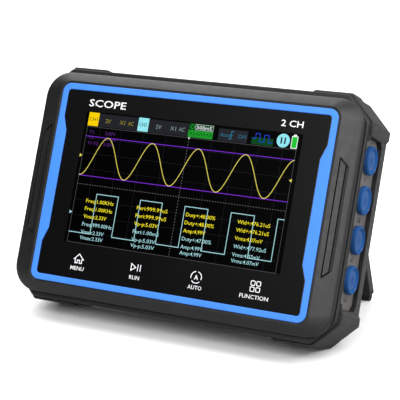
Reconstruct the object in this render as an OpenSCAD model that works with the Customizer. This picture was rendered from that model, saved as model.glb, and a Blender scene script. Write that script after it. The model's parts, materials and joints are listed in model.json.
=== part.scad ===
// Rugged tablet oscilloscope with a multimeter side panel, standing on its folding rear stand.
// Everything is drawn in the upright body frame: x to the viewer's right, y from the front
// face towards the back, z up. stand() then leans it back and sets it on the floor.

/* [Stance] */
// Lean of the body back from upright, degrees
lean = 22; // [12:0.5:32]
// Opening of the rear stand away from the back, degrees
stand_open = 45; // [30:1:60]
// Shift that centres the footprint on the origin
centre_shift = -29.05; // [-60:0.01:0]

/* [Front bezel] */
// Outer width of the sloped bezel
bezel_w = 143.4; // [120:0.1:170]
// Outer height of the sloped bezel
bezel_h = 93.4; // [80:0.1:120]
// Corner radius of the bezel edge
bezel_r = 11; // [6:0.5:20]
// Depth at which the slope meets the side wall
bezel_drop = 2.7; // [1.5:0.1:5]
// Depth of the bezel's back face
bezel_back = 4.8; // [4:0.1:8]
// Distance of the side grooves' centre from the middle
groove_x = 67.1; // [64:0.1:69]
// Half length of the side grooves
groove_z = 23.6; // [15:0.1:30]

/* [Trim ring and glass] */
// Outer width of the blue trim ring
ring_w = 124; // [110:0.1:140]
// Outer height of the blue trim ring
ring_h = 83.4; // [70:0.1:95]
// Outer corner radius of the trim ring
ring_r = 3.8; // [1:0.1:10]
// Narrow band width of the ring
ring_band = 2.6; // [1.5:0.1:5]
// Band width on the widened sides
ring_wide = 4.7; // [3:0.1:8]
// Height of the top end of the widened sides
ring_top = 21.6; // [10:0.1:30]
// Height of the bottom end of the widened sides
ring_bottom = -19.6; // [-30:0.1:-10]
// Height over which the band widens
ring_step = 5.8; // [2:0.1:10]
// Depth of the ring and of its pocket
ring_d = 2.5; // [1.5:0.1:4]
// Depth of the glass face below the ring face
glass_in = 0.4; // [0:0.1:1]
// Thickness of the cover glass
glass_t = 1.2; // [0.7:0.1:2]

/* [Screen module] */
// Outline width of the screen module
lcd_w = 105.4; // [90:0.1:115]
// Outline height of the screen module
lcd_h = 67.2; // [50:0.1:72]
// Thickness of the screen module
lcd_t = 3; // [2:0.1:4]
// Height of the screen's centre above the body centre
lcd_z = 2.9; // [-5:0.1:6]

/* [Rear shell] */
// Outer width of the rear shell
shell_w = 145.4; // [120:0.1:170]
// Outer height of the rear shell
shell_h = 97.8; // [80:0.1:120]
// Chamfer on the four corners
corner_cut = 11; // [4:0.5:20]
// Overall depth of the body
body_d = 36; // [28:0.5:50]
// Depth at which the rear edge bevel starts
bevel_y = 31.4; // [26:0.1:34]
// Wall thickness
wall = 2.5; // [1.5:0.1:4]
// Depth of the inside face of the back wall
back_in = 29; // [24:0.1:32]
// Depth of the stand pocket's floor
pocket_y = 30.8; // [30:0.1:34]

/* [Corner bumpers] */
// Height of the bumpers over the shell
bumper_t = 1.1; // [0.5:0.1:3]
// Depth where each bumper steps down
bumper_mid = 18; // [12:0.5:26]
// Depth where each bumper ends
bumper_end = 30.8; // [26:0.1:31]
// Width left flat on the floor edge, measured as a cut height
floor_cut = 0.25; // [0.1:0.05:1]

/* [Rear stand] */
// Height of the hinge axis
hinge_z = 28.6; // [20:0.1:30]
// Depth of the hinge axis
hinge_y = 33.4; // [32:0.1:34]
// Half width of the stand plate
leg_x = 58; // [40:0.5:60]
// Thickness of the stand plate
leg_t = 4.4; // [3:0.1:6]
// Radius of the hinge barrel
barrel_r = 2.4; // [2:0.05:3]
// Hinge pin radius
pin_r = 1.5; // [1:0.05:2]
// Radial play between pin and barrel
pin_play = 0.05; // [0.02:0.01:0.1]
// Reach of the heel that stops the opening
heel = 3.4; // [2:0.05:4]
// Radius of the rubber foot
foot_r = 2.2; // [1.5:0.1:3]

/* [Meter jacks] */
// Height of the top jack
jack_top = 25.4; // [20:0.1:30]
// Spacing of the jacks
jack_pitch = 15.72; // [12:0.01:19]
// Depth of the jack row
jack_y = 17.1; // [14:0.1:20]
// Outer radius of a jack body
jack_r = 5.2; // [4.5:0.05:6]
// Bore radius of the contact sleeve
sleeve_r = 2; // [1.9:0.01:2.1]
// Face of the jack panel, measured from the middle
panel_x = 70.5; // [69:0.1:72]
// Width of the jack panel
panel_w = 17.6; // [14:0.1:20]
// Height of the jack panel
panel_h = 67.6; // [50:0.1:72]
// Rim radius of a dust plug
plug_r = 5.7; // [5:0.05:7]
// Height of a dust plug over the panel
plug_t = 2.2; // [1:0.1:4]

/* [Signal sockets] */
// Spacing of the three coaxial sockets
coax_pitch = 28; // [20:0.5:32]
// Depth of the socket row
coax_y = 21.5; // [20:0.1:26]
// Height of the socket bay floor
bay_z = 34.4; // [30:0.1:38]
// Half width of the socket bay
bay_x = 43.5; // [36:0.5:45]
// Depth of the bay's front wall
bay_y = 14; // [12:0.1:18]
// Barrel radius of a coaxial socket
coax_r = 4.85; // [4.7:0.01:5]
// Height of a coaxial socket above the bay floor
coax_h = 14; // [12:0.1:16]

/* [Side controls] */
// Radius of the power button
button_r = 3.2; // [2:0.1:4]
// Height of the power button's centre
button_z = 14; // [5:0.5:25]
// Height of the charging socket's centre
usb_z = -14; // [-25:0.5:-5]
// Depth of both side controls
side_y = 15.4; // [12:0.1:20]

/* [Boards] */
// Front face of the main board
board_y = 12; // [10:0.1:16]
// Board thickness
board_t = 1.6; // [1:0.1:2]

/* [Hidden] */
$fn = 48;
half_w = shell_w / 2;
half_h = shell_h / 2;
shell_front = bezel_back + 0.8;
bumper_low = bumper_t - 0.6;
floor_drop = (half_h + bumper_low) * cos(lean) + bumper_end * sin(lean) - floor_cut;
foot_flat = 0.15;
leg_len = (hinge_z * cos(lean) - hinge_y * sin(lean) + floor_drop - foot_r + foot_flat)
    / cos(stand_open - lean);
jack_z = [for (i = [0:3]) jack_top - i * jack_pitch];
coax_x = [for (i = [-1:1]) i * coax_pitch];
board_back = board_y + board_t;
screw_x = 62.3;
screw_z = 36;
under_x = 30;
under_z = -41;
post_xz = [[-53, -33], [-53, 24.5], [40.5, -33], [40.5, 24.5]];
frame_xz = [[-60, 27], [60, 27], [-60, -27], [60, -27]];
thread_r = coax_r - 0.3;
heel_sweep = sqrt(heel * heel + leg_t * leg_t / 4);
panel_z = jack_top - 1.5 * jack_pitch - 1.7;

// ---- placing helpers ----

module stand()
    translate([0, centre_shift, floor_drop])
    rotate([-lean, 0, 0])
    children();

module slab(y0, y1)
    translate([0, y1, 0])
    rotate([90, 0, 0])
    linear_extrude(y1 - y0)
    children();

module rod_x(x0, x1, y, z, r)
    translate([x0, y, z])
    rotate([0, 90, 0])
    cylinder(h = x1 - x0, r = r);

module rod_y(y0, y1, x, z, r)
    translate([x, y0, z])
    rotate([-90, 0, 0])
    cylinder(h = y1 - y0, r = r);

module box(x0, x1, y0, y1, z0, z1)
    translate([x0, y0, z0])
    cube([x1 - x0, y1 - y0, z1 - z0]);

module round_rect(w, h, r) {
    square([w - 2 * r, h], center = true);
    square([w, h - 2 * r], center = true);
    for (i = [-1, 1])
        for (j = [-1, 1])
            translate([i * (w / 2 - r), j * (h / 2 - r)])
            circle(r = r);
}

// Rectangle with its four corners cut off at 45 degrees
module cut_rect(hw, hh, cut)
    polygon([[-hw, -hh + cut], [-hw + cut, -hh], [hw - cut, -hh], [hw, -hh + cut],
        [hw, hh - cut], [hw - cut, hh], [-hw + cut, hh], [-hw, hh - cut]]);

// The same outline with its eight points softened, used inside hull()
module soft_cut_rect(hw, hh, cut, r = 3)
    for (i = [-1, 1])
        for (j = [-1, 1]) {
            translate([i * (hw - cut), j * (hh - r)])
            circle(r = r, $fn = 28);
            translate([i * (hw - r), j * (hh - cut)])
            circle(r = r, $fn = 28);
        }

// ---- front ----

module bezel_outer()
    hull() {
        slab(0.3, 0.4)
        round_rect(ring_w + 1.8, ring_h + 1.8, ring_r + 0.9, $fn = 32);
        slab(bezel_drop, bezel_drop + 0.1)
        round_rect(bezel_w - 1.2, bezel_h - 1.2, bezel_r - 0.6, $fn = 32);
        slab(bezel_drop + 0.7, bezel_back)
        round_rect(bezel_w, bezel_h, bezel_r, $fn = 32);
    }

// Long groove with slanted ends beside the ring, one per side
module side_groove(side)
    scale([side, 1, 1]) {
        slab(-1, bezel_drop + 0.1)
        polygon([[groove_x + 0.4, groove_z - 2.6], [groove_x + 1.7, groove_z - 3.8],
            [groove_x + 1.7, 3.8 - groove_z], [groove_x + 0.4, 2.6 - groove_z]]);
        slab(-1, bezel_drop - 0.1)
        polygon([[groove_x - 1.9, groove_z], [groove_x + 1.7, groove_z - 3.4],
            [groove_x + 1.7, groove_z - 4.2], [groove_x - 1.9, groove_z - 0.8]]);
        slab(-1, bezel_drop - 0.1)
        polygon([[groove_x - 1.9, -groove_z], [groove_x + 1.7, 3.4 - groove_z],
            [groove_x + 1.7, 4.2 - groove_z], [groove_x - 1.9, 0.8 - groove_z]]);
        slab(-1, bezel_drop - 0.7)
        polygon([[groove_x - 2.1, groove_z - 0.4], [groove_x - 1.7, groove_z - 0.8],
            [groove_x - 1.7, 0.8 - groove_z], [groove_x - 2.1, 0.4 - groove_z]]);
    }

module front_bezel()
    color([0.13, 0.13, 0.14])
    stand()
    difference() {
        union() {
            bezel_outer();
            for (p = frame_xz)
                rod_y(bezel_back - 0.1, lcd_t + ring_d + 0.2, p[0], p[1], 3);
            for (i = [-1, 1]) {
                for (j = [-1, 1])
                    rod_y(bezel_back - 0.1, 7.2, i * screw_x, j * screw_z, 3.6);
                rod_y(bezel_back - 0.1, 7.2, i * under_x, under_z, 2.4);
            }
        }
        slab(-1, ring_d)
        round_rect(ring_w + 0.1, ring_h + 0.1, ring_r + 0.05);
        slab(ring_d - 1, bezel_back + 1)
        translate([0, -1.1])
        round_rect(lcd_w + 3, 76.4, 2);
        for (side = [-1, 1])
            side_groove(side);
        for (p = frame_xz)
            rod_y(ring_d + 0.7, 9, p[0], p[1], 0.8);
        for (i = [-1, 1]) {
            for (j = [-1, 1])
                rod_y(4, 9, i * screw_x, j * screw_z, 1.25);
            rod_y(4, 9, i * under_x, under_z, 1.25);
        }
    }

// Inner edge of the trim ring: wider on both sides between the two steps
module ring_window(grow = 0) {
    in_x = ring_w / 2 - ring_band + grow;
    wide_x = ring_w / 2 - ring_wide + grow;
    in_z = ring_h / 2 - ring_band + grow;
    polygon([[-in_x + 1.2, in_z], [in_x - 1.2, in_z], [in_x, in_z - 1.2],
        [in_x, ring_top + ring_step], [wide_x, ring_top], [wide_x, ring_bottom],
        [in_x, ring_bottom - ring_step], [in_x, 1.2 - in_z], [in_x - 1.2, -in_z],
        [1.2 - in_x, -in_z], [-in_x, 1.2 - in_z], [-in_x, ring_bottom - ring_step],
        [-wide_x, ring_bottom], [-wide_x, ring_top], [-in_x, ring_top + ring_step],
        [-in_x, in_z - 1.2]]);
}

module trim_ring()
    color([0.26, 0.56, 0.95])
    stand()
    slab(0, ring_d)
    difference() {
        round_rect(ring_w, ring_h, ring_r);
        ring_window();
    }

module cover_glass()
    color([0.03, 0.03, 0.035])
    stand()
    slab(glass_in, glass_in + glass_t)
    ring_window(-0.05);

module touch_panel()
    color([0.18, 0.2, 0.2])
    stand()
    slab(glass_in + glass_t, ring_d)
    square([112, 76], center = true);

module screen_module()
    color([0.55, 0.57, 0.6])
    stand()
    difference() {
        slab(ring_d + 0.1, ring_d + 0.1 + lcd_t)
        translate([-0.3, lcd_z])
        square([lcd_w, lcd_h], center = true);
        slab(ring_d - 0.1, ring_d + 0.3)
        translate([-0.3, lcd_z])
        square([95.4, 55.8], center = true);
    }

module screen_bracket()
    color([0.7, 0.71, 0.73])
    stand()
    difference() {
        slab(lcd_t + ring_d + 0.2, lcd_t + ring_d + 1.2)
        union() {
            translate([0, lcd_z])
            square([112, 70], center = true);
            for (p = frame_xz)
                translate(p)
                circle(r = 3.4);
            for (j = [-1, 1])
                translate([0, j * 27])
                square([120, 6.8], center = true);
        }
        slab(0, 9)
        translate([0, lcd_z + 3])
        round_rect(84, 42, 4);
        slab(0, 9)
        translate([0, -28])
        square([24, 6], center = true);
        for (p = frame_xz)
            rod_y(0, 9, p[0], p[1], 1.1);
    }

module bracket_screws()
    color([0.75, 0.75, 0.77])
    stand()
    for (p = frame_xz)
        difference() {
            union() {
                rod_y(ring_d + 0.9, lcd_t + ring_d + 1.3, p[0], p[1], 0.75);
                rod_y(lcd_t + ring_d + 1.2, lcd_t + ring_d + 2.4, p[0], p[1], 2);
            }
            cross_slot(lcd_t + ring_d + 1.8, p[0], p[1], 1.1);
        }

// Cross recess cut into a screw head from the back
module cross_slot(y, x, z, reach) {
    box(x - reach, x + reach, y, y + 9, z - 0.25, z + 0.25);
    box(x - 0.25, x + 0.25, y, y + 9, z - reach, z + reach);
}

module key_board()
    color([0.06, 0.25, 0.14])
    stand() {
        box(-52, 52, ring_d + 0.1, ring_d + 1.1, -38.6, -31.2);
        for (x = [-40.6, -13.6, 13.6, 39.4])
            box(x - 3, x + 3, ring_d + 1.1, ring_d + 1.8, -37, -33);
    }

module seam_gasket()
    color([0.05, 0.05, 0.05])
    stand()
    difference() {
        slab(bezel_back, shell_front)
        round_rect(bezel_w - 1.6, bezel_h - 1.6, bezel_r - 0.8);
        slab(bezel_back - 1, shell_front + 1)
        cut_rect(half_w - 5, half_h - 5.4, 7);
    }

// ---- rear shell ----

module shell_outer()
    hull() {
        slab(shell_front, shell_front + 0.1)
        soft_cut_rect(half_w - 0.5, half_h - 0.5, corner_cut);
        slab(7, 7.1)
        soft_cut_rect(half_w, half_h, corner_cut);
        slab(bevel_y - 0.1, bevel_y)
        soft_cut_rect(half_w - 0.5, half_h - 1, corner_cut + 0.5);
        slab(body_d - 0.1, body_d)
        soft_cut_rect(half_w - 4.2, half_h - 4.3, corner_cut - 2);
    }

module panel_2d(grow)
    translate([0, panel_z])
    cut_rect(panel_w / 2 + grow, panel_h / 2 + grow, 2.4);

// Places a shape drawn as (depth, height) on the right side and gives it thickness
module on_side(x0, x1)
    translate([x0, jack_y, 0])
    rotate([90, 0, 90])
    linear_extrude(x1 - x0)
    children();

module shell_cavity()
    difference() {
        slab(shell_front - 1, back_in)
        cut_rect(half_w - wall, half_h - wall - 0.5, corner_cut - 0.6);
        box(-bay_x - 2, bay_x + 2, bay_y - 2, 40, bay_z - 2, 60);
        for (i = [-1, 1]) {
            for (j = [-1, 1])
                rod_y(7.2, 40, i * screw_x, j * screw_z, 4.2);
            rod_y(7.2, 40, i * under_x, under_z, 3.8);
        }
        for (p = post_xz)
            rod_y(24, 40, p[0], p[1], 3.2);
    }

module rear_shell()
    color([0.15, 0.15, 0.16])
    stand()
    difference() {
        shell_outer();
        shell_cavity();
        // shadow groove just behind the front lip
        slab(7, 8.3)
        difference() {
            square([200, 150], center = true);
            cut_rect(half_w - 1.1, half_h - 1.1, corner_cut - 0.4);
        }
        // socket bay, open to the top and back
        box(-bay_x, bay_x, bay_y, 40, bay_z, 60);
        for (x = coax_x)
            translate([x, coax_y, bay_z - 3])
            cylinder(h = 4, r = thread_r + 0.1);
        // window for the jack panel
        on_side(half_w - wall - 0.1, half_w + 2)
        panel_2d(0.1);
        // stand pocket, open at the bottom
        box(-leg_x - 0.4, leg_x + 0.4, pocket_y, 40, -60, hinge_z + heel_sweep + 0.15);
        for (i = [-1, 1])
            rod_x(i * (leg_x + 2.2) - 2.4, i * (leg_x + 2.2) + 2.4, hinge_y, hinge_z, pin_r);
        // case screws
        for (i = [-1, 1]) {
            for (j = [-1, 1]) {
                rod_y(5, 20, i * screw_x, j * screw_z, 1.4);
                rod_y(12, 40, i * screw_x, j * screw_z, 2.6);
            }
            rod_y(5, 20, i * under_x, under_z, 1.4);
            rod_y(12, 40, i * under_x, under_z, 2.6);
        }
        for (p = post_xz)
            rod_y(20, back_in - 0.6, p[0], p[1], 1.3);
        // power button and charging socket
        rod_x(-half_w - 2, 3 - half_w, side_y, button_z, button_r + 0.08);
        box(-half_w - 2, 3 - half_w, side_y - 1.85, side_y + 1.85, usb_z - 4.8, usb_z + 4.8);
        rod_x(-half_w - 2, 0.9 - half_w, side_y, usb_z - 3, 3.1);
        rod_x(-half_w - 2, 0.9 - half_w, side_y, usb_z + 3, 3.1);
        box(-half_w - 2, 0.9 - half_w, side_y - 3.1, side_y + 3.1, usb_z - 3, usb_z + 3);
    }

// Outline of one corner bumper, larger than the shell by t
module bumper_2d(t)
    polygon([[47.2 - t, 38], [47.2 - t, half_h + t - 0.8], [48.4 - t, half_h + t],
        [half_w - corner_cut + 1 + t * 0.4, half_h + t],
        [half_w + t, half_h - corner_cut + 1 + t * 0.4],
        [half_w + t, 36.4 - t], [half_w + t - 0.8, 35.2 - t], [60, 35.2 - t]]);

module corner_bumpers()
    color([0.1, 0.1, 0.105])
    difference() {
        stand()
        difference() {
            for (i = [-1, 1])
                for (j = [-1, 1])
                    scale([i, 1, j]) {
                        slab(8.5, bumper_mid)
                        bumper_2d(bumper_t);
                        slab(bumper_mid, bumper_end)
                        bumper_2d(bumper_low);
                    }
            shell_outer();
        }
        translate([-100, -100, -20])
        cube([200, 200, 20]);
    }

module screw_at(x, z)
    difference() {
        union() {
            rod_y(4.2, 12.1, x, z, 1.2);
            rod_y(12, 13.8, x, z, 2.3);
        }
        cross_slot(12.9, x, z, 1.4);
    }

module case_screws()
    color([0.3, 0.3, 0.32])
    stand()
    for (i = [-1, 1]) {
        for (j = [-1, 1])
            screw_at(i * screw_x, j * screw_z);
        screw_at(i * under_x, under_z);
    }

// ---- meter side ----

module jack_panel()
    color([0.24, 0.23, 0.23])
    stand()
    difference() {
        union() {
            on_side(panel_x - 1.6, panel_x)
            panel_2d(0);
            on_side(panel_x - 1.6, half_w - wall - 0.05)
            panel_2d(1.4);
        }
        for (z = jack_z)
            rod_x(60, 80, jack_y, z, jack_r + 0.05);
    }

module jack_bodies()
    color([0.12, 0.12, 0.13])
    stand()
    for (z = jack_z)
        difference() {
            union() {
                rod_x(49, panel_x, jack_y, z, jack_r);
                rod_x(66, panel_x - 1.65, jack_y, z, 6.6);
            }
            difference() {
                rod_x(57, 80, jack_y, z, 4.3);
                rod_x(50, 90, jack_y, z, 3.3);
            }
            rod_x(40, 80, jack_y, z, 2.65);
        }

module jack_contacts()
    color([0.85, 0.68, 0.35])
    stand()
    for (z = jack_z)
        difference() {
            union() {
                rod_x(48, panel_x - 0.6, jack_y, z, 2.6);
                rod_x(45.2, 48, jack_y, z, 1);
            }
            rod_x(52, 80, jack_y, z, sleeve_r);
        }

module dust_plug(i)
    color([0.14, 0.36, 0.72])
    stand()
    difference() {
        union() {
            rod_x(panel_x + 0.1, panel_x + plug_t, jack_y, jack_z[i], plug_r);
            rod_x(60, panel_x + 0.2, jack_y, jack_z[i], sleeve_r - 0.05);
            difference() {
                rod_x(64, panel_x + 0.2, jack_y, jack_z[i], 4.2);
                rod_x(60, panel_x + 0.1, jack_y, jack_z[i], 3.4);
            }
        }
        rod_x(panel_x + plug_t - 0.6, 80, jack_y, jack_z[i], plug_r - 1.1);
    }

module dust_plug_1()
    dust_plug(0);

module dust_plug_2()
    dust_plug(1);

module dust_plug_3()
    dust_plug(2);

module dust_plug_4()
    dust_plug(3);

module meter_board()
    color([0.05, 0.27, 0.15])
    stand()
    difference() {
        box(46, 47.6, 8.4, 27.6, -31.5, 31.5);
        for (z = jack_z)
            rod_x(40, 50, jack_y, z, 1.1);
    }

module fuses()
    color([0.86, 0.84, 0.78])
    stand()
    for (z = [-27, -18])
        rod_x(12, 32, board_back + 3.6, z, 2.6);

module fuse_clips()
    color([0.78, 0.78, 0.8])
    stand()
    for (z = [-27, -18])
        for (x = [12.6, 27.4])
            difference() {
                box(x, x + 4, board_back, board_back + 5.2, z - 3.2, z + 3.2);
                rod_x(0, 40, board_back + 3.6, z, 2.65);
                box(0, 40, board_back + 3.6, board_back + 9, z - 2.3, z + 2.3);
            }

// ---- rear stand ----

// Turns a shape drawn closed against the back into the open position
module opened()
    stand()
    translate([0, hinge_y, hinge_z])
    rotate([stand_open, 0, 0])
    children();

module stand_leg()
    color([0.12, 0.12, 0.125])
    opened()
    difference() {
        union() {
            box(-leg_x, leg_x, -leg_t / 2, leg_t / 2, 0.6 - leg_len, 0);
            rod_x(-leg_x, leg_x, 0, 0, barrel_r);
            box(-44, 44, 0, leg_t / 2, 0, heel);
        }
        // pockets on the side that faces the body
        for (x = [-37.5, -12.5, 12.5, 37.5])
            for (z = [-18.5, -40.5])
                box(x - 11, x + 11, -leg_t, leg_t / 2 - 1.8, z - 9.5, z + 9.5);
        // finger scoop in the lower edge
        slab(-5, 5)
        translate([0, 1.2 - leg_len])
        circle(r = 9);
        // groove for the foot strip
        box(-leg_x - 1, leg_x + 1, -0.8, 0.8, -leg_len, 2.6 - leg_len);
        for (i = [-1, 1])
            rod_x(i * (leg_x - 3) - 4, i * (leg_x - 3) + 4, 0, 0, pin_r + pin_play);
    }

module stand_foot()
    color([0.07, 0.07, 0.07])
    difference() {
        opened()
        difference() {
            union() {
                rod_x(-leg_x + 1, leg_x - 1, 0, -leg_len, foot_r);
                box(-leg_x + 1, leg_x - 1, -0.75, 0.75, -leg_len, 2.4 - leg_len);
            }
            box(-leg_x, leg_x, 0.8, 5, 0.55 - leg_len, 9 - leg_len);
            box(-leg_x, leg_x, -5, -0.8, 0.55 - leg_len, 9 - leg_len);
            slab(-5, 5)
            translate([0, 1.2 - leg_len])
            circle(r = 9.3);
        }
        translate([-100, -20, -20])
        cube([200, 200, 20]);
    }

module hinge_pins()
    color([0.72, 0.72, 0.74])
    stand()
    for (i = [-1, 1])
        rod_x(i * (leg_x - 1.2) - 5, i * (leg_x - 1.2) + 5, hinge_y, hinge_z, pin_r);

// ---- coaxial sockets ----

module coax_shells()
    color([0.74, 0.75, 0.77])
    stand()
    for (x = coax_x)
        translate([x, coax_y, bay_z])
        difference() {
            union() {
                cylinder(h = 1.6, r = 6.6);
                cylinder(h = coax_h, r = thread_r);
                translate([0, 0, coax_h - 3.3])
                cylinder(h = 3.3, r = coax_r);
                translate([0, 0, -8])
                cylinder(h = 8.1, r = thread_r);
                rod_x(-5.55, 5.55, 0, coax_h - 5, 1);
            }
            translate([0, 0, 3])
            cylinder(h = 20, r = 4.05);
            translate([0, 0, -10])
            cylinder(h = 20, r = 3.2);
        }

module coax_insulators()
    color([0.93, 0.93, 0.9])
    stand()
    for (x = coax_x)
        translate([x, coax_y, bay_z])
        difference() {
            union() {
                translate([0, 0, -8])
                cylinder(h = 11.5, r = 3.15);
                cylinder(h = coax_h - 2, r = 2.4);
            }
            translate([0, 0, -9])
            cylinder(h = 30, r = 0.95);
        }

module coax_contacts()
    color([0.86, 0.7, 0.36])
    stand()
    for (x = coax_x)
        translate([x, coax_y, bay_z - 9.8])
        difference() {
            cylinder(h = coax_h + 7.2, r = 0.9);
            translate([0, 0, coax_h + 2])
            cylinder(h = 9, r = 0.5);
        }

module coax_nuts()
    color([0.76, 0.77, 0.79])
    stand()
    for (x = coax_x)
        translate([x, coax_y, bay_z - 4.5])
        difference() {
            cylinder(h = 2.4, r = 6.8, $fn = 6);
            translate([0, 0, -1])
            cylinder(h = 5, r = thread_r + 0.05);
        }

module input_board()
    color([0.05, 0.27, 0.15])
    stand()
    difference() {
        box(-36.5, 36.5, 15.2, 28.6, bay_z - 9.7, bay_z - 8.1);
        for (x = coax_x)
            translate([x, coax_y, bay_z - 12])
            cylinder(h = 9, r = 1);
    }

// ---- side controls ----

module power_button()
    color([0.2, 0.2, 0.21])
    stand() {
        rod_x(-half_w - 0.6, 5 - half_w, side_y, button_z, button_r);
        rod_x(wall + 0.05 - half_w, wall + 1 - half_w, side_y, button_z, button_r + 1);
    }

module power_switch()
    color([0.8, 0.8, 0.82])
    stand() {
        box(-66.3, -62.8, board_back, board_back + 4.2, button_z - 3, button_z + 3);
        rod_x(-67.1, -66.2, side_y, button_z, 1.2);
    }

module charge_socket()
    color([0.82, 0.83, 0.85])
    stand()
    difference() {
        box(-71.2, -63.8, board_back + 0.1, board_back + 3.36, usb_z - 4.5, usb_z + 4.5);
        box(-80, -64.6, board_back + 0.4, board_back + 1.35, usb_z - 4.2, usb_z + 4.2);
        box(-80, -64.6, board_back + 2.05, board_back + 3.06, usb_z - 4.2, usb_z + 4.2);
        box(-80, -64.6, board_back + 1.3, board_back + 2.1, usb_z - 4.2, usb_z - 3.4);
        box(-80, -64.6, board_back + 1.3, board_back + 2.1, usb_z + 3.4, usb_z + 4.2);
        box(-80, -70.6, board_back + 0.4, board_back + 3.06, usb_z - 4.2, usb_z + 4.2);
    }

// ---- boards and what they carry ----

module main_board()
    color([0.04, 0.28, 0.16])
    stand()
    difference() {
        slab(board_y, board_back)
        union() {
            polygon([[-56, -36], [44.5, -36], [44.5, 28.5], [-56, 28.5]]);
            polygon([[-66.5, -22], [-55, -22], [-55, 20], [-66.5, 20]]);
        }
        for (p = post_xz)
            rod_y(board_y - 1, board_back + 1, p[0], p[1], 1.3);
    }

module board_posts()
    color([0.84, 0.72, 0.42])
    stand()
    for (p = post_xz)
        difference() {
            union() {
                rod_y(board_back, 24, p[0], p[1], 2.6);
                rod_y(23.9, back_in - 0.7, p[0], p[1], 1.2);
            }
            rod_y(board_back - 1, 21, p[0], p[1], 1.1);
        }

module board_screws()
    color([0.75, 0.75, 0.77])
    stand()
    for (p = post_xz)
        difference() {
            union() {
                rod_y(board_y - 1.3, board_y, p[0], p[1], 2.2);
                rod_y(board_y - 0.1, 19, p[0], p[1], 1.05);
            }
            box(p[0] - 1.3, p[0] + 1.3, board_y - 2, board_y - 0.7, p[1] - 0.25, p[1] + 0.25);
            box(p[0] - 0.25, p[0] + 0.25, board_y - 2, board_y - 0.7, p[1] - 1.3, p[1] + 1.3);
        }

module shield_cans()
    color([0.76, 0.77, 0.78])
    stand()
    for (x = [-46, -20])
        difference() {
            box(x, x + 22, board_back, board_back + 3.4, 12.6, 23.6);
            box(x + 0.4, x + 21.6, board_back - 1, board_back + 3, 13, 23.2);
            for (i = [0:4])
                rod_y(board_back, board_back + 5, x + 3 + i * 4, 18.1, 0.8);
        }

module processor_chips()
    color([0.09, 0.09, 0.1])
    stand() {
        box(-22, -5, board_y - 1.4, board_y, -14, 3);
        box(6, 20, board_y - 1.3, board_y, -10, 4);
        box(26, 36, board_y - 1.1, board_y, 0, 8);
    }

module relays()
    color([0.9, 0.9, 0.87])
    stand()
    for (i = [0:3])
        box(8 + i * 8, 14.5 + i * 8, board_back, board_back + 5, 6, 16.5);

module buzzer()
    color([0.08, 0.08, 0.085])
    stand()
    difference() {
        rod_y(board_back, board_back + 5, 36.6, -6, 5);
        rod_y(board_back + 4, board_back + 6, 36.6, -6, 1);
    }

module battery()
    color([0.75, 0.76, 0.78])
    stand() {
        box(-55.5, 4.5, 18.6, back_in - 1, -29.5, 15.5);
        box(-30, -14, 20, back_in - 1.6, 15.5, 17.2);
    }

module battery_pad()
    color([0.2, 0.2, 0.21])
    stand()
    box(-53, 2, back_in - 1, back_in, -27, 13);

// Flat cable from the screen, looped down and back up to the main board
module ribbon_cable()
    color([0.85, 0.6, 0.3])
    stand()
    translate([-10, 8.4, -28.6])
    rotate([90, 0, 90])
    linear_extrude(20) {
        difference() {
            circle(r = 2.6);
            circle(r = 2.3);
            translate([-4, 0])
            square([8, 4]);
        }
        translate([-2.6, -0.1])
        square([0.3, 3.5]);
        translate([2.3, -0.1])
        square([0.3, 2.6]);
    }

module ribbon_socket()
    color([0.93, 0.92, 0.88])
    stand()
    box(-12, 12, board_y - 1.8, board_y, -26.1, -21.5);

// ---- which part to draw ----

front_bezel();
trim_ring();
cover_glass();
touch_panel();
screen_module();
screen_bracket();
bracket_screws();
key_board();
seam_gasket();
rear_shell();
corner_bumpers();
case_screws();
jack_panel();
jack_bodies();
jack_contacts();
dust_plug_1();
dust_plug_2();
dust_plug_3();
dust_plug_4();
meter_board();
fuses();
fuse_clips();
stand_leg();
stand_foot();
hinge_pins();
coax_shells();
coax_insulators();
coax_contacts();
coax_nuts();
input_board();
power_button();
power_switch();
charge_socket();
main_board();
board_posts();
board_screws();
shield_cans();
processor_chips();
relays();
buzzer();
battery();
battery_pad();
ribbon_cable();
ribbon_socket();
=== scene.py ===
"""Looks of the tablet oscilloscope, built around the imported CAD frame."""

import json
import math

import bmesh
import bpy
from mathutils import Matrix, Vector


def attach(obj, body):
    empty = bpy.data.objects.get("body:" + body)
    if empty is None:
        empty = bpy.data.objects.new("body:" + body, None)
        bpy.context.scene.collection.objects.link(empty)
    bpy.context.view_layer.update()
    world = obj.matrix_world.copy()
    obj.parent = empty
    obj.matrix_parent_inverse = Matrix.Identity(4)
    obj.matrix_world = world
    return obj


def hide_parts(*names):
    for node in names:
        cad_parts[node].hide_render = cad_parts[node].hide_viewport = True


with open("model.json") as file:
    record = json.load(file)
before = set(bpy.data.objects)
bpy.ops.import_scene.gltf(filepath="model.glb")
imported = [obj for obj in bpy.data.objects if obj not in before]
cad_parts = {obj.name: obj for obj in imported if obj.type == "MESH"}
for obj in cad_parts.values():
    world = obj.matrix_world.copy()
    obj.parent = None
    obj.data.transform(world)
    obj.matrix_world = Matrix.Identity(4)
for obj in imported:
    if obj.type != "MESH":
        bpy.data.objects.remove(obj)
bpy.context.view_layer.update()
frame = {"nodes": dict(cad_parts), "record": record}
record = frame["record"]
nodes = frame["nodes"]

# ---- the leaning body frame ----
# Pieces are drawn upright in millimetres: x to the right, y back from the ring's face, z up.
# The axis and the place of the middle coaxial socket say how that frame stands in the row.

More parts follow.
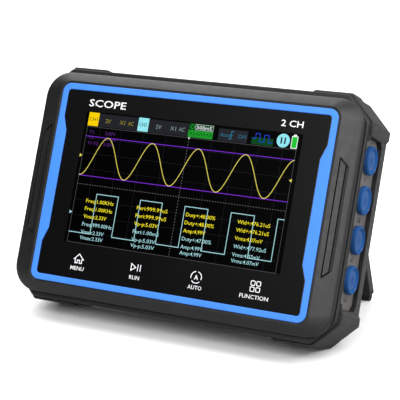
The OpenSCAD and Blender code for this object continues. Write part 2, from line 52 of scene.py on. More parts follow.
mounts = {m["name"]: m for m in record["mounts"]}
socket_axis = Vector(mounts["coax_2"]["axis"])
LEAN = math.atan2(socket_axis.y, socket_axis.z)
TURN = Matrix.Rotation(-LEAN, 4, "X") @ Matrix.Scale(0.001, 4)
ORIGIN = Vector(mounts["coax_2"]["pos_m"]) - TURN @ Vector((0, 21.5, 46.75))
LOCAL = Matrix.Translation(ORIGIN) @ TURN
HINGE_Y, HINGE_Z, STAND_OPEN, LEG = 33.4, 28.6, 45, 75.009
STAND = (LOCAL @ Matrix.Translation((0, HINGE_Y, HINGE_Z))
         @ Matrix.Rotation(math.radians(STAND_OPEN), 4, "X"))

HALF_W, HALF_H = 72.7, 48.9
JACK_Y, JACK_Z = 17.1, (25.4, 9.68, -6.04, -21.76)
PANEL_X = 70.5
COAX_X, COAX_Y, BAY_Z = (-28, 0, 28), 21.5, 34.4
SIDE_Y, BUTTON_Z, USB_Z = 15.4, 14, -14


# ---- outlines, as points (x, z) ----

def arc(cx, cz, r, a0, a1, n):
    """n + 1 points on an arc, angles in degrees."""
    angles = [math.radians(a0 + (a1 - a0) * i / n) for i in range(n + 1)]
    return [(cx + r * math.cos(a), cz + r * math.sin(a)) for a in angles]


def round_rect(hw, hh, r, n=8, cx=0.0, cz=0.0):
    points = []
    for sx, sz, a in ((1, 1, 0), (-1, 1, 90), (-1, -1, 180), (1, -1, 270)):
        points += arc(cx + sx * (hw - r), cz + sz * (hh - r), r, a, a + 90, n)
    return points


def soft_octagon(hw, hh, cut, r=3.0, n=4):
    """Rectangle with its corners cut off at 45 degrees and the eight points softened."""
    points = []
    for k, (sx, sz) in enumerate(((1, 1), (-1, 1), (-1, -1), (1, -1))):
        side = (sx * (hw - r), sz * (hh - cut))
        end = (sx * (hw - cut), sz * (hh - r))
        first, second = (side, end) if sx == sz else (end, side)
        points += arc(*first, r, 90 * k, 90 * k + 45, n)
        points += arc(*second, r, 90 * k + 45, 90 * k + 90, n)
    return points


def cut_rect(hw, hh, cut, cx=0.0, cz=0.0):
    corners = [(-hw, -hh + cut), (-hw + cut, -hh), (hw - cut, -hh), (hw, -hh + cut),
               (hw, hh - cut), (hw - cut, hh), (-hw + cut, hh), (-hw, hh - cut)]
    return [(cx + x, cz + z) for x, z in corners]


# ---- solids ----

def solid(name, verts, faces):
    mesh = bpy.data.meshes.new(name)
    mesh.from_pydata([tuple(v) for v in verts], [], faces)
    bm = bmesh.new()
    bm.from_mesh(mesh)
    bmesh.ops.remove_doubles(bm, verts=bm.verts, dist=1e-5)
    bmesh.ops.recalc_face_normals(bm, faces=bm.faces)
    bm.to_mesh(mesh)
    bm.free()
    obj = bpy.data.objects.new(name, mesh)
    bpy.context.scene.collection.objects.link(obj)
    return obj


def loft(name, rings, closed=False):
    """Skin through rings of equal count. closed joins the last ring to the first."""
    count = len(rings[0])
    verts = [p for ring in rings for p in ring]
    pairs = list(zip(range(len(rings) - 1), range(1, len(rings))))
    if closed:
        pairs.append((len(rings) - 1, 0))
    faces = [(a * count + i, a * count + (i + 1) % count,
              b * count + (i + 1) % count, b * count + i)
             for a, b in pairs for i in range(count)]
    if not closed:
        faces.append(tuple(range(count)))
        faces.append(tuple((len(rings) - 1) * count + i for i in range(count)))
    return solid(name, verts, faces)


def layers(*levels):
    """Rings for loft from (depth, outline) pairs."""
    return [[(x, y, z) for x, z in outline] for y, outline in levels]


def slab(name, outline, y0, y1):
    return loft(name, layers((y0, outline), (y1, outline)))


def side_slab(name, outline, x0, x1):
    """A slab whose outline is (depth, height), standing on the right or left side."""
    return loft(name, [[(x, y, z) for y, z in outline] for x in (x0, x1)])


def box(name, x0, x1, y0, y1, z0, z1):
    return slab(name, [(x0, z0), (x1, z0), (x1, z1), (x0, z1)], y0, y1)


def lathe(name, profile, origin, axis, count=56):
    """Turns (distance along the axis, radius) points about the axis through origin."""
    axis, origin = Vector(axis), Vector(origin)
    u = axis.orthogonal().normalized()
    v = axis.cross(u)
    rings = []
    for along, r in profile:
        turn = [2 * math.pi * i / count for i in range(count)]
        rings.append([origin + axis * along + (u * math.cos(a) + v * math.sin(a)) * max(r, 1e-4)
                      for a in turn])
    return loft(name, rings)


def rod(name, axis, start, end, a, b, r, count=40):
    """Plain round cutter along X or Y; a and b are its other two coordinates."""
    if axis == "X":
        return lathe(name, [(start, r), (end, r)], (0, a, b), (1, 0, 0), count)
    return lathe(name, [(start, r), (end, r)], (a, 0, b), (0, 1, 0), count)


def baked(obj):
    """Keeps what the object's modifiers make of its mesh."""
    bpy.context.view_layer.update()
    deps = bpy.context.evaluated_depsgraph_get()
    mesh = bpy.data.meshes.new_from_object(obj.evaluated_get(deps), depsgraph=deps)
    obj.modifiers.clear()
    obj.data = mesh
    return obj


def joined(obj, others, operation="UNION"):
    for other in others:
        tool = obj.modifiers.new("tool", "BOOLEAN")
        tool.operation, tool.solver, tool.object = operation, "EXACT", other
    baked(obj)
    for other in others:
        bpy.data.objects.remove(other)
    return obj


def carved(obj, cutters):
    return joined(obj, cutters, "DIFFERENCE")


def softened(obj, width, segments=3, angle=30):
    """Rounds every edge sharper than the angle."""
    edge = obj.modifiers.new("edge", "BEVEL")
    edge.width, edge.segments = width, segments
    edge.limit_method, edge.angle_limit = "ANGLE", math.radians(angle)
    edge.use_clamp_overlap = False
    edge.miter_outer = "MITER_ARC"
    return baked(obj)


def merged(name, parts):
    """One mesh object made of several, which are used up."""
    bm = bmesh.new()
    for part in parts:
        bm.from_mesh(part.data)
        bpy.data.objects.remove(part)
    mesh = bpy.data.meshes.new(name)
    bm.to_mesh(mesh)
    bm.free()
    obj = bpy.data.objects.new(name, mesh)
    bpy.context.scene.collection.objects.link(obj)
    return obj


def piece(obj, body, finish, replaces=(), place=LOCAL, angle=32):
    """Puts a finished shape in the row frame, with its finish, on its body."""
    obj.data.transform(place)
    obj.data.polygons.foreach_set("use_smooth", [True] * len(obj.data.polygons))
    obj.data.set_sharp_from_angle(angle=math.radians(angle))
    shade = obj.modifiers.new("normals", "WEIGHTED_NORMAL")
    shade.keep_sharp = True
    obj.data.materials.clear()
    obj.data.materials.append(finish)
    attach(obj, body)
    if replaces:
        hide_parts(*replaces)
    return obj


# ---- finishes ----

class Finish:
    """A procedural surface: slow and fine noise move its colour, gloss and relief."""

    def __init__(self, name, colour, rough, metallic=0.0, level=0.5, coat=0.0):
        self.mat = bpy.data.materials.new(name)
        self.mat.use_nodes = True
        self.tree = self.mat.node_tree
        self.shader = self.tree.nodes["Principled BSDF"]
        self.shader.inputs["Metallic"].default_value = metallic
        self.shader.inputs["Specular IOR Level"].default_value = level
        if coat:
            self.shader.inputs["Coat Weight"].default_value = coat
            self.shader.inputs["Coat Roughness"].default_value = 0.08
        self.colour, self.rough = colour, rough
        self.where = self.tree.nodes.new("ShaderNodeTexCoord").outputs["Object"]

    def noise(self, scale, detail=3.0, stretch=None):
        node = self.tree.nodes.new("ShaderNodeTexNoise")
        node.inputs["Scale"].default_value = scale
        node.inputs["Detail"].default_value = detail
        source = self.where
        if stretch:
            mapping = self.tree.nodes.new("ShaderNodeMapping")
            mapping.inputs["Scale"].default_value = stretch
            self.tree.links.new(source, mapping.inputs["Vector"])
            source = mapping.outputs["Vector"]
        self.tree.links.new(source, node.inputs["Vector"])
        return node.outputs["Fac"]

    def cells(self, scale):
        node = self.tree.nodes.new("ShaderNodeTexVoronoi")
        node.inputs["Scale"].default_value = scale
        self.tree.links.new(self.where, node.inputs["Vector"])
        return node.outputs["Distance"]

    def ramp(self, factor, low, high, at=(0.3, 0.7)):
        node = self.tree.nodes.new("ShaderNodeValToRGB")
        for stop, place, value in zip(node.color_ramp.elements, at, (low, high)):
            stop.position = place
            stop.color = (*value, 1)
        self.tree.links.new(factor, node.inputs["Fac"])
        return node.outputs["Color"]

    def spread(self, factor, low, high):
        node = self.tree.nodes.new("ShaderNodeMapRange")
        node.inputs["From Min"].default_value = 0.3
        node.inputs["From Max"].default_value = 0.7
        node.inputs["To Min"].default_value = low
        node.inputs["To Max"].default_value = high
        self.tree.links.new(factor, node.inputs["Value"])
        return node.outputs["Result"]

    def blend(self, kind, factor, a, b):
        node = self.tree.nodes.new("ShaderNodeMix")
        node.data_type, node.blend_type = "RGBA", kind
        node.inputs["Factor"].default_value = factor
        self.tree.links.new(a, node.inputs["A"])
        self.tree.links.new(b, node.inputs["B"])
        return node.outputs["Result"]

    def relief(self, height, depth_mm, strength=1.0):
        node = self.tree.nodes.new("ShaderNodeBump")
        node.inputs["Distance"].default_value = depth_mm * 0.001
        node.inputs["Strength"].default_value = strength
        self.tree.links.new(height, node.inputs["Height"])
        self.tree.links.new(node.outputs["Normal"], self.shader.inputs["Normal"])

    def tint(self, amount, slow=60, fine=2200, painted_edge_highlight=0.0):
        """Base colour from slow patches and fine specks, with sharp edges lightened as a painted
        highlight.
        """
        low = [c * (1 - amount) for c in self.colour]
        high = [c * (1 + amount) for c in self.colour]
        patches = self.ramp(self.noise(slow), low, high)
        specks = self.ramp(self.noise(fine, 2.0), [1 - amount] * 3, [1] * 3)
        out = self.blend("MULTIPLY", 1.0, patches, specks)
        # painted highlight: edges that pointiness finds sharp are made lighter, standing in for light
        # caught on them
        if painted_edge_highlight:
            shape = self.tree.nodes.new("ShaderNodeNewGeometry")
            edge = self.ramp(shape.outputs["Pointiness"], [0] * 3, [painted_edge_highlight] * 3, (0.53, 0.62))
            out = self.blend("ADD", 1.0, out, edge)
        self.tree.links.new(out, self.shader.inputs["Base Color"])
        return self

    def gloss(self, amount, scale=400):
        out = self.spread(self.noise(scale), self.rough - amount, self.rough + amount)
        self.tree.links.new(out, self.shader.inputs["Roughness"])
        return self

    def glow(self, strength, amount=0.12, scale=900):
        low = [c * (1 - amount) for c in self.colour]
        out = self.ramp(self.noise(scale), low, self.colour)
        self.tree.links.new(out, self.shader.inputs["Emission Color"])
        self.shader.inputs["Emission Strength"].default_value = strength
        return self


def moulded(name, colour, rough, grain=0.012, painted_edge_highlight=0.0, amount=0.16, level=0.5):
    """Moulded plastic or rubber with a spark-eroded grain, and a painted highlight along sharp edges.
    """
    f = Finish(name, colour, rough, level=level).tint(amount, painted_edge_highlight=painted_edge_highlight).gloss(0.05)
    f.relief(f.cells(2600), grain)
    return f.mat


def metal(name, colour, rough, stretch=(1, 1, 1), amount=0.08):
    f = Finish(name, colour, rough, metallic=1.0).tint(amount, slow=120).gloss(0.06, 700)
    f.relief(f.noise(1500, 3.0, stretch), 0.006)
    return f.mat


def ink(name, colour, rough=0.5):
    f = Finish(name, colour, rough).tint(0.05, slow=300).gloss(0.05)
    f.relief(f.noise(4000), 0.002)
    return f.mat


def lit(name, colour, strength, rough=0.12):
    """A lit part of the display, seen through its glossy cover."""
    f = Finish(name, colour, rough, level=0.25).glow(strength)
    f.gloss(0.02)
    dark = [c * 0.02 for c in colour]
    shade = f.ramp(f.noise(800), dark, [c * 1.2 for c in dark])
    f.tree.links.new(shade, f.shader.inputs["Base Color"])
    return f.mat


def glassy(name, colour, rough, level=0.5):
    f = Finish(name, colour, rough, level=level).tint(0.1, slow=30).gloss(0.015, 60)
    f.relief(f.noise(25, 1.0), 0.002)
    return f.mat


def circuit(name):
    f = Finish(name, (0.01, 0.09, 0.045), 0.35).tint(0.2, slow=200).gloss(0.08)
    tracks = f.ramp(f.noise(420, 1.0, (1, 6, 1)), [0] * 3, [1] * 3, (0.49, 0.51))
    f.relief(tracks, 0.03)
    return f.mat


# The edge amounts given to these finishes paint a lighter highlight along sharp edges, strongest on the
# blue plug rims.
SATIN = moulded("satin_black", (0.010, 0.0098, 0.0102), 0.42, painted_edge_highlight=0.006, level=0.42)
SHELL = moulded("shell_black", (0.007, 0.0069, 0.0073), 0.46, grain=0.02, painted_edge_highlight=0.006, level=0.4)
RUBBER = moulded("bumper_rubber", (0.008, 0.0079, 0.0082), 0.5, grain=0.03, painted_edge_highlight=0.008, level=0.5)
GASKET = moulded("gasket_rubber", (0.006, 0.006, 0.0062), 0.6, grain=0.02)
BLUE = moulded("blue_trim", (0.055, 0.24, 0.85), 0.4, grain=0.006, amount=0.04, level=0.3)
PLUG = moulded("blue_rubber", (0.006, 0.07, 0.25), 0.6, grain=0.012, painted_edge_highlight=0.06, level=0.15)
PANEL = moulded("grey_panel", (0.115, 0.108, 0.103), 0.5, grain=0.02, painted_edge_highlight=0.01)
STAND_BLACK = moulded("stand_black", (0.008, 0.008, 0.0082), 0.5, grain=0.025, painted_edge_highlight=0.008)
BUTTON = moulded("button_grey", (0.05, 0.05, 0.053), 0.4, grain=0.01, painted_edge_highlight=0.01)
JACK_BLACK = moulded("jack_black", (0.018, 0.018, 0.019), 0.4)
WHITE_PLASTIC = moulded("white_plastic", (0.75, 0.74, 0.7), 0.38, amount=0.04)
BOARD = circuit("circuit_board")
NICKEL = metal("nickel", (0.62, 0.61, 0.58), 0.24, (1, 1, 8))
STEEL = metal("screw_steel", (0.5, 0.5, 0.5), 0.32)
DARK_STEEL = metal("dark_screw", (0.09, 0.09, 0.095), 0.36)
SHEET = metal("sheet_steel", (0.6, 0.6, 0.6), 0.38, (6, 1, 1))
BRASS = metal("gold_brass", (0.78, 0.55, 0.22), 0.26)
GLASS = glassy("cover_glass", (0.0035, 0.0035, 0.0038), 0.07)
WINDOW = glassy("display_black", (0.0004, 0.0004, 0.0004), 0.12, level=0.12)
PRINT = ink("print_white", (0.85, 0.86, 0.88))
PANEL_INK = ink("panel_ink", (0.006, 0.006, 0.006))

# ---- front bezel ----

BEZEL_BACK = 4.8


def bezel_outline(t):
    """Outline between the ring's edge (t = 0) and the side wall (t = 1)."""
    return round_rect(62.9 + 8.8 * t, 42.6 + 4.1 * t, 4.7 + 6.3 * t, 10)


def front_bezel():
    outer = [(0.0, 0.48), (0.008, 0.42), (0.03, 0.45), (0.2, 0.8), (0.4, 1.25), (0.6, 1.76),
             (0.78, 2.24), (0.88, 2.53), (0.94, 2.76), (0.975, 3.02), (0.994, 3.35), (1.0, 3.7)]
    rings = [(BEZEL_BACK, round_rect(53.4, 38.2, 2.0, 10, cz=-1.1)),
             (2.5, round_rect(53.4, 38.2, 2.0, 10, cz=-1.1)),
             (2.5, round_rect(62.05, 41.75, 3.85, 10))]
    rings += [(0.5, round_rect(62.05, 41.75, 3.85, 10))]
    rings += [(y, bezel_outline(t)) for t, y in outer]
    rings += [(4.5, bezel_outline(1.0)), (BEZEL_BACK, round_rect(71.4, 46.4, 10.7, 10))]
    obj = loft("bezel", layers(*rings), closed=True)
    cutters = []
    for s in (-1, 1):
        def flip(points):
            return [(s * x, z) for x, z in points]
        cutters += [
            slab("slot", flip([(67.5, 21.0), (68.8, 19.8), (68.8, -19.8), (67.5, -21.0)]), -1, 2.95),
            slab("slant", flip([(65.2, 23.6), (68.8, 20.2), (68.8, 19.4), (65.2, 22.8)]), -1, 2.75),
            slab("slant", flip([(65.2, -23.6), (68.8, -20.2), (68.8, -19.4), (65.2, -22.8)]), -1, 2.75),
            slab("line", flip([(65.0, 23.2), (65.4, 22.8), (65.4, -22.8), (65.0, -23.2)]), -1, 2.0),
        ]
    carved(obj, cutters)
    softened(obj, 0.13, 2, 50)
    return piece(obj, "body", SATIN, ["front_bezel"])


front_bezel()

# ---- blue ring and the glass ----


def window_loop(grow=0.0):
    in_x, wide_x, in_z = 59.4 + grow, 57.3 + grow, 39.1 + grow
    quarter = [(in_x - 1.2, in_z), (in_x - 0.35, in_z - 0.35), (in_x, in_z - 1.2)]
    right = [(in_x, 27.4), (wide_x, 21.6), (wide_x, -19.6), (in_x, -25.4)]
    low = [(x, -z) for x, z in reversed(quarter)]
    side = quarter + right + low
    return side + [(-x, z) for x, z in reversed(side)]


def trim_ring():
    body = slab("ring", round_rect(62.0, 41.7, 3.8, 12), 0.0, 2.5)
    carved(body, [slab("window", window_loop(), -1, 4)])
    softened(body, 0.32, 3, 40)
    return piece(body, "body", BLUE, ["trim_ring"])


def cover_glass():
    body = slab("glass", window_loop(-0.05), 0.4, 1.6)
    softened(body, 0.18, 2, 60)
    return piece(body, "body", GLASS, ["cover_glass"])


trim_ring()
cover_glass()

# ---- thin printed and lit marks on the glass ----

GLASS_FACE = 0.4
SUNK = GLASS_FACE + 0.006


class Marks:
    """Gathers thin solids of one finish, which lie on the glass or on the jack panel."""

    def __init__(self, name, finish, slot="cover_glass"):
        self.name, self.finish, self.slot = name, finish, slot
        self.verts, self.faces = [], []

    def fill(self, outline, front):
        base, n = len(self.verts), len(outline)
        self.verts += [(x, y, z) for y in (front, SUNK) for x, z in outline]
        self.faces.append([base + i for i in range(n)])
        self.faces.append([base + n + i for i in reversed(range(n))])
        self.faces += [[base + i, base + n + i, base + n + (i + 1) % n, base + (i + 1) % n]
                       for i in range(n)]

    def bar(self, x0, x1, z0, z1, front):
        self.fill([(x0, z0), (x0, z1), (x1, z1), (x1, z0)], front)

    def stroke(self, points, width, front, closed=False):
        """A line of even width with mitred turns."""
        count = len(points)
        left, right = [], []
        for i, p in enumerate(points):
            before = points[i - 1] if closed or i else None
            after = points[(i + 1) % count] if closed or i < count - 1 else None
            sides = []
            for a, b in ((before, p), (p, after)):
                if a is not None and b is not None:
                    d = Vector((b[0] - a[0], b[1] - a[1])).normalized()
                    sides.append(Vector((-d.y, d.x)))
            normal = sum(sides, Vector((0, 0))).normalized()
            reach = width / 2 / max(0.35, normal.dot(sides[0]))
            left.append((p[0] + normal.x * reach, p[1] + normal.y * reach))
            right.append((p[0] - normal.x * reach, p[1] - normal.y * reach))
        spans = range(count if closed else count - 1)
        base = len(self.verts)
        for l, r in zip(left, right):
            self.verts += [(l[0], front, l[1]), (r[0], front, r[1]),
                           (l[0], SUNK, l[1]), (r[0], SUNK, r[1])]
        for i in spans:
            a, b = base + 4 * i, base + 4 * ((i + 1) % count)
            self.faces += [[a, a + 1, b + 1, b], [a + 2, b + 2, b + 3, a + 3],
                           [a, b, b + 2, a + 2], [a + 1, a + 3, b + 3, b + 1]]
        if not closed:
            a, b = base, base + 4 * (count - 1)
            self.faces += [[a, a + 2, a + 3, a + 1], [b, b + 1, b + 3, b + 2]]

    def words(self, text, x, z, front, width, cap, align="LEFT", weight=0.012):
        """Plain lettering, stretched to that width and capital height."""
        verts, faces, wide, tall = glyphs(text, weight)
        shift = {"LEFT": 0.0, "CENTER": -0.5}[align]
        base = len(self.verts)
        for vx, vy, vz in verts:
            depth = front if vz > 0 else SUNK
            self.verts.append((x + (vx / wide + shift) * width, depth, z + (vy / tall - 0.5) * cap))
        self.faces += [[base + i for i in face] for face in faces]

    def build(self):
        if not self.verts:
            return None
        obj = solid(self.name, self.verts, self.faces)
        return piece(obj, "body", self.finish)


_glyphs = {}


def glyphs(text, weight):
    """(vertices, faces, width, capital height) of a word in the built-in typeface."""
    key = (text, weight)
    if key not in _glyphs:
        curve = bpy.data.curves.new("word", "FONT")
        curve.body, curve.size, curve.extrude, curve.offset = text, 1.0, 0.05, weight
        curve.resolution_u = 2
        obj = bpy.data.objects.new("word", curve)
        bpy.context.scene.collection.objects.link(obj)
        bpy.context.view_layer.update()
        deps = bpy.context.evaluated_depsgraph_get()
        mesh = bpy.data.meshes.new_from_object(obj.evaluated_get(deps), depsgraph=deps)
        left = min(v.co.x for v in mesh.vertices)
        right = max(v.co.x for v in mesh.vertices)
        verts = [(v.co.x - left, v.co.y, v.co.z) for v in mesh.vertices]
        faces = [list(p.vertices) for p in mesh.polygons]
        if text == "H":
            tall = max(v.co.y for v in mesh.vertices)
        else:
            tall = glyphs("H", weight)[3]
        bpy.data.objects.remove(obj)
        bpy.data.curves.remove(curve)
        bpy.data.meshes.remove(mesh)
        _glyphs[key] = (verts, faces, right - left, tall)
    return _glyphs[key]


# display grid of 480 by 272 steps
STEP_X, STEP_Z = 94.4 / 480, 54.7 / 272


def grid(u, v):
    return (-0.34 + (u - 240) * STEP_X, 2.88 + (136 - v) * STEP_Z)


def grid_bar(marks, u0, u1, v0, v1, front):
    (x0, z1), (x1, z0) = grid(u0, v0), grid(u1, v1)
    marks.bar(x0, x1, z0, z1, front)


def grid_words(marks, text, u, v, front, units=5.5, cap=7.0, weight=0.004):
    x, z = grid(u, v)
    marks.words(text, x, z, front, len(text) * units * STEP_X, cap * STEP_Z, weight=weight)


window = Marks("display_window", WINDOW)
band = Marks("display_band", lit("band_grey", (0.016, 0.017, 0.022), 1.0))
lines = Marks("display_grid", lit("grid_grey", (0.1, 0.1, 0.105), 1.0))
faint = Marks("display_faint_grid", lit("grid_faint", (0.012, 0.013, 0.02), 1.0))
yellow = Marks("display_yellow", lit("signal_yellow", (0.80, 0.70, 0.12), 1.0))
readout = Marks("readout_yellow", lit("readout_yellow", (1.0, 0.86, 0.02), 1.0))
tab_yellow = Marks("tab_yellow", lit("tab_yellow", (1.0, 0.67, 0.0), 1.0))
dim_yellow = Marks("status_yellow", lit("status_yellow", (0.30, 0.25, 0.03), 1.0))
cyan = Marks("display_cyan", lit("signal_cyan", (0.4, 0.74, 0.78), 1.0))
tab_cyan = Marks("tab_cyan", lit("tab_cyan", (0.30, 0.84, 0.92), 1.0))
dim_cyan = Marks("status_cyan", lit("status_cyan", (0.02, 0.15, 0.25), 1.0))
pale = Marks("status_pale", lit("status_pale", (0.22, 0.3, 0.3), 1.0))
purple = Marks("cursor_purple", lit("cursor_purple", (0.22, 0.03, 0.70), 1.0))
dim_purple = Marks("cursor_labels", lit("label_purple", (0.09, 0.02, 0.18), 1.0))
green = Marks("display_green", lit("status_green", (0.01, 0.58, 0.03), 1.0))
dark_green = Marks("display_dark_green", lit("dark_green", (0.0, 0.06, 0.01), 1.0))
white = Marks("display_white", lit("status_white", (0.95, 1.0, 1.0), 1.0))
blue = Marks("display_blue", lit("status_blue", (0.01, 0.05, 0.5), 1.0))
strip_green = Marks("strip_green", lit("strip_green", (0.01, 0.33, 0.02), 1.0))
black = Marks("display_black_marks", lit("mark_black", (0.004, 0.004, 0.005), 1.0))
prints = Marks("glass_printing", PRINT)

window.bar(-48.9, 48.7, -24.3, 30.6, 0.392)

# status bar
grid_bar(band, 0, 237, 1, 28, 0.386)
grid_bar(band, 306, 371, 4, 28, 0.386)
grid_bar(tab_yellow, 0, 25, 0, 28, 0.38)
grid_words(black, "CH1", 3, 14, 0.372, 6.2, 7.2, 0.0)
grid_bar(tab_cyan, 120, 144.5, 0, 28, 0.38)
grid_words(black, "CH2", 122.5, 14, 0.372, 6.2, 7.2, 0.0)
for label, u in (("2V", 42), ("X1", 76), ("AC", 96)):
    grid_words(dim_yellow, label, u, 15, 0.378, 6.5, 8)
    grid_words(pale, label, u + 120, 15, 0.378, 6.5, 8)
grid_bar(dark_green, 238, 294, 0, 14, 0.38)
grid_bar(strip_green, 238, 294, 14, 28, 0.38)
for i in range(7):
    u = 241 + i * 7.6
    dark_green.stroke([grid(u, 24), grid(u + 3.2, 18), grid(u + 6, 24)], 0.22, 0.37)
strip_green.stroke([grid(241, 7), grid(246, 2), grid(251, 7), grid(246, 12)], 0.28, 0.37, closed=True)
white.stroke([grid(253, 1.5), grid(293, 1.5), grid(293, 12.5), grid(253, 12.5)], 0.1, 0.37,
             closed=True)
grid_words(white, "500mS", 255.5, 7.2, 0.366, 6.9, 6.8, 0.0)
white.fill([grid(239.5, 29.5), grid(244.5, 29.5), grid(242, 33)], 0.37)
grid_words(dim_cyan, "Auto", 310, 16, 0.378, 5.6, 7.5)
grid_words(dim_cyan, "CH1", 350, 16, 0.378, 6.0, 7.5)
edge_icon = [grid(330, 23), grid(335, 23), grid(335, 8), grid(340, 8)]
dim_cyan.stroke(edge_icon, 0.42, 0.378)
dim_cyan.fill([grid(331.6, 17), grid(338.4, 17), grid(335, 11.5)], 0.376)
grid_bar(dark_green, 381, 428, 14, 28, 0.38)
square_icon = [(382, 16), (389, 16), (389, 6), (398, 6), (398, 22), (408, 22), (408, 8),
               (418, 8), (418, 22), (427, 22)]
blue.stroke([grid(*p) for p in square_icon], 0.32, 0.374)
round_icon = [grid(449 + 14 * math.cos(a * math.pi / 18), 14.5 + 13.6 * math.sin(a * math.pi / 18))
              for a in range(36)]
tab_cyan.fill(round_icon, 0.38)
grid_bar(black, 443.5, 446.7, 8, 21, 0.37)
grid_bar(black, 451.3, 454.5, 8, 21, 0.37)
white.fill([grid(466.5, 3.5), grid(480, 3.5), grid(480, 28), grid(466.5, 28)], 0.384)
grid_bar(white, 470, 476.5, 0.5, 3.6, 0.384)
grid_bar(green, 468, 478.5, 5, 26.5, 0.376)

# graph frame, centre lines and faint grid
lines.stroke([grid(0.5, 30), grid(479.5, 30), grid(479.5, 271), grid(0.5, 271)], 0.14, 0.386,
             closed=True)
for i in range(80):
    grid_bar(lines, 3 * i * 2, 3 * i * 2 + 3, 149.4, 150.8, 0.386)
for i in range(40):
    grid_bar(lines, 241.4, 242.8, 31 + 6 * i, 34 + 6 * i, 0.386)
for i in (-4, -3, -2, -1, 1, 2, 3, 4):
    grid_bar(faint, 241.7 + 52.3 * i, 242.4 + 52.3 * i, 31, 270, 0.388)
for i in (-3, -2, -1, 1, 2, 3):
    grid_bar(faint, 1, 479, 149.7 + 32.3 * i, 150.4 + 32.3 * i, 0.388)

# cursors, their labels, and the two signals
for v in (50, 132):
    grid_bar(purple, 0, 480, v - 0.65, v + 0.65, 0.38)
for label, value, v in (("Y1:", "2.87V", 40.6), ("Y2:", "-2.16V", 52), ("Y1-Y2:", "5.03V", 63.6)):
    grid_words(dim_purple, label, 7, v, 0.382, 4.6, 6.5)
    grid_words(dim_purple, value, 46, v, 0.382, 5.0, 6.5)
sine = [grid(u * 2.0, 90.7 - 40.4 * math.cos(2 * math.pi * (u * 2.0 - 55.2) / 106.4))
        for u in range(241)]
yellow.stroke(sine, 0.29, 0.374)
square = [(0, 250), (52, 250), (52, 167), (104, 167), (104, 250), (156.5, 250), (156.5, 167),
          (207.6, 167), (207.6, 250), (260, 250), (260, 167), (312, 167), (312, 250),
          (364, 250), (364, 167), (415, 167), (415, 250), (466, 250), (466, 167), (480, 167)]
cyan.stroke([grid(*p) for p in square], 0.3, 0.378)
readings = (
    (29.4, ("Freq:1.00KHz", "Freq:1.00KHz", "Vmax:2.33V", "Freq:999.00Hz", "Vmax:2.33V",
            "Vmax:2.33V")),
    (151, ("Peri:999.99uS", "Peri:999.99uS", "Vp-p:5.03V", "Peri:1.00mS", "Vp-p:5.03V",
           "Vp-p:5.03V")),
    (265, ("Duty+:48.00%", "Duty+:48.00%", "Amp:4.99V", "Duty+:47.00%", "Amp:4.99V",
           "Amp:4.99V")),
    (380.5, ("Wid+:476.21uS", "Wid+:476.21uS", "Vrms:4.07mV", "Wid+:477.92uS", "Vrms:4.07mV",
             "Vrms:4.07mV")),
)
for u, rows in readings:
    for row, v, marks in zip(rows, (182.6, 198.6, 214.7, 231, 247, 259),
                             (readout, readout, readout, cyan, cyan, cyan)):
        grid_words(marks, row, u, v, 0.366, 5.5, 7.4, 0.002)
yellow.fill([grid(-6, 87.5), grid(0.5, 91), grid(-6, 94.5)], 0.374)
cyan.fill([grid(-6, 206.5), grid(0.5, 210), grid(-6, 213.5)], 0.374)
yellow.fill([grid(481, 86.5), grid(475, 90), grid(481, 93.5)], 0.374)

# lettering and touch-key icons printed on the glass
PRINTED = 0.375
prints.words("SCOPE", -39.7, 34.2, PRINTED, 17.5, 2.9, "CENTER", 0.008)
prints.words("2 CH", 43.4, 34.3, PRINTED, 9.4, 2.5, "CENTER", 0.008)
for label, x, width in (("MENU", -40.5, 6.3), ("RUN", -13.6, 4.6), ("AUTO", 13.7, 6.1),
                        ("FUNCTION", 39.4, 12.2)):
    prints.words(label, x, -34.7, PRINTED, width, 1.55, "CENTER", 0.004)
house = [(-2.7, -0.35), (0, 2.4), (2.7, -0.35), (1.95, -0.35), (1.95, -2.3), (0.65, -2.3),
         (0.65, -0.75), (-0.65, -0.75), (-0.65, -2.3), (-1.95, -2.3), (-1.95, -0.35)]
prints.stroke([(0.8 * x - 40.4, 0.8 * z - 30.7) for x, z in house], 0.36, PRINTED, closed=True)
prints.stroke([(-15.7, -29.25), (-13.6, -30.6), (-15.7, -31.95)], 0.36, PRINTED, closed=True)
for x in (-12.7, -11.5):
    prints.bar(x - 0.17, x + 0.17, -32.0, -29.2, PRINTED)
for start in (100, 220, 340):
    prints.stroke(arc(13.7, -30.6, 2.32, start, start + 96, 14), 0.34, PRINTED)
prints.words("A", 13.7, -30.6, PRINTED, 1.75, 1.85, "CENTER", 0.015)
for x in (38.2, 40.6):
    for z in (-31.7, -29.3):
        prints.stroke(round_rect(0.84, 0.84, 0.34, 4, x, z), 0.32, PRINTED, closed=True)

for marks in (window, band, lines, faint, yellow, readout, tab_yellow, dim_yellow, cyan,
              tab_cyan, dim_cyan, pale, purple, dim_purple, green, strip_green, dark_green, white, blue,
              black, prints):
    marks.build()

# ---- rear shell and corner bumpers ----


def shell_outer(name="shell", groove=True):
    levels = [(5.6, soft_octagon(72.0, 48.2, 10.9)), (5.85, soft_octagon(72.4, 48.6, 11.0)),
              (6.4, soft_octagon(72.65, 48.85, 11.0)), (7.0, soft_octagon(HALF_W, HALF_H, 11))]
    if groove:
        levels += [(7.05, soft_octagon(71.6, 47.8, 10.6)), (8.25, soft_octagon(71.6, 47.8, 10.6)),
                   (8.3, soft_octagon(HALF_W, HALF_H, 11))]
    levels += [(8.6, soft_octagon(HALF_W, HALF_H, 11)), (31.0, soft_octagon(72.2, 47.92, 11.5)),
               (31.6, soft_octagon(72.0, 47.7, 11.4)), (32.2, soft_octagon(71.55, 47.3, 11.2)),
               (35.2, soft_octagon(69.2, 45.2, 9.6)), (35.7, soft_octagon(68.7, 44.7, 9.2)),
               (36.0, soft_octagon(67.9, 43.9, 8.9))]
    return loft(name, layers(*levels))


def screw_places():
    return [(i * 62.3, j * 36) for i in (-1, 1) for j in (-1, 1)] + [(-30, -41), (30, -41)]


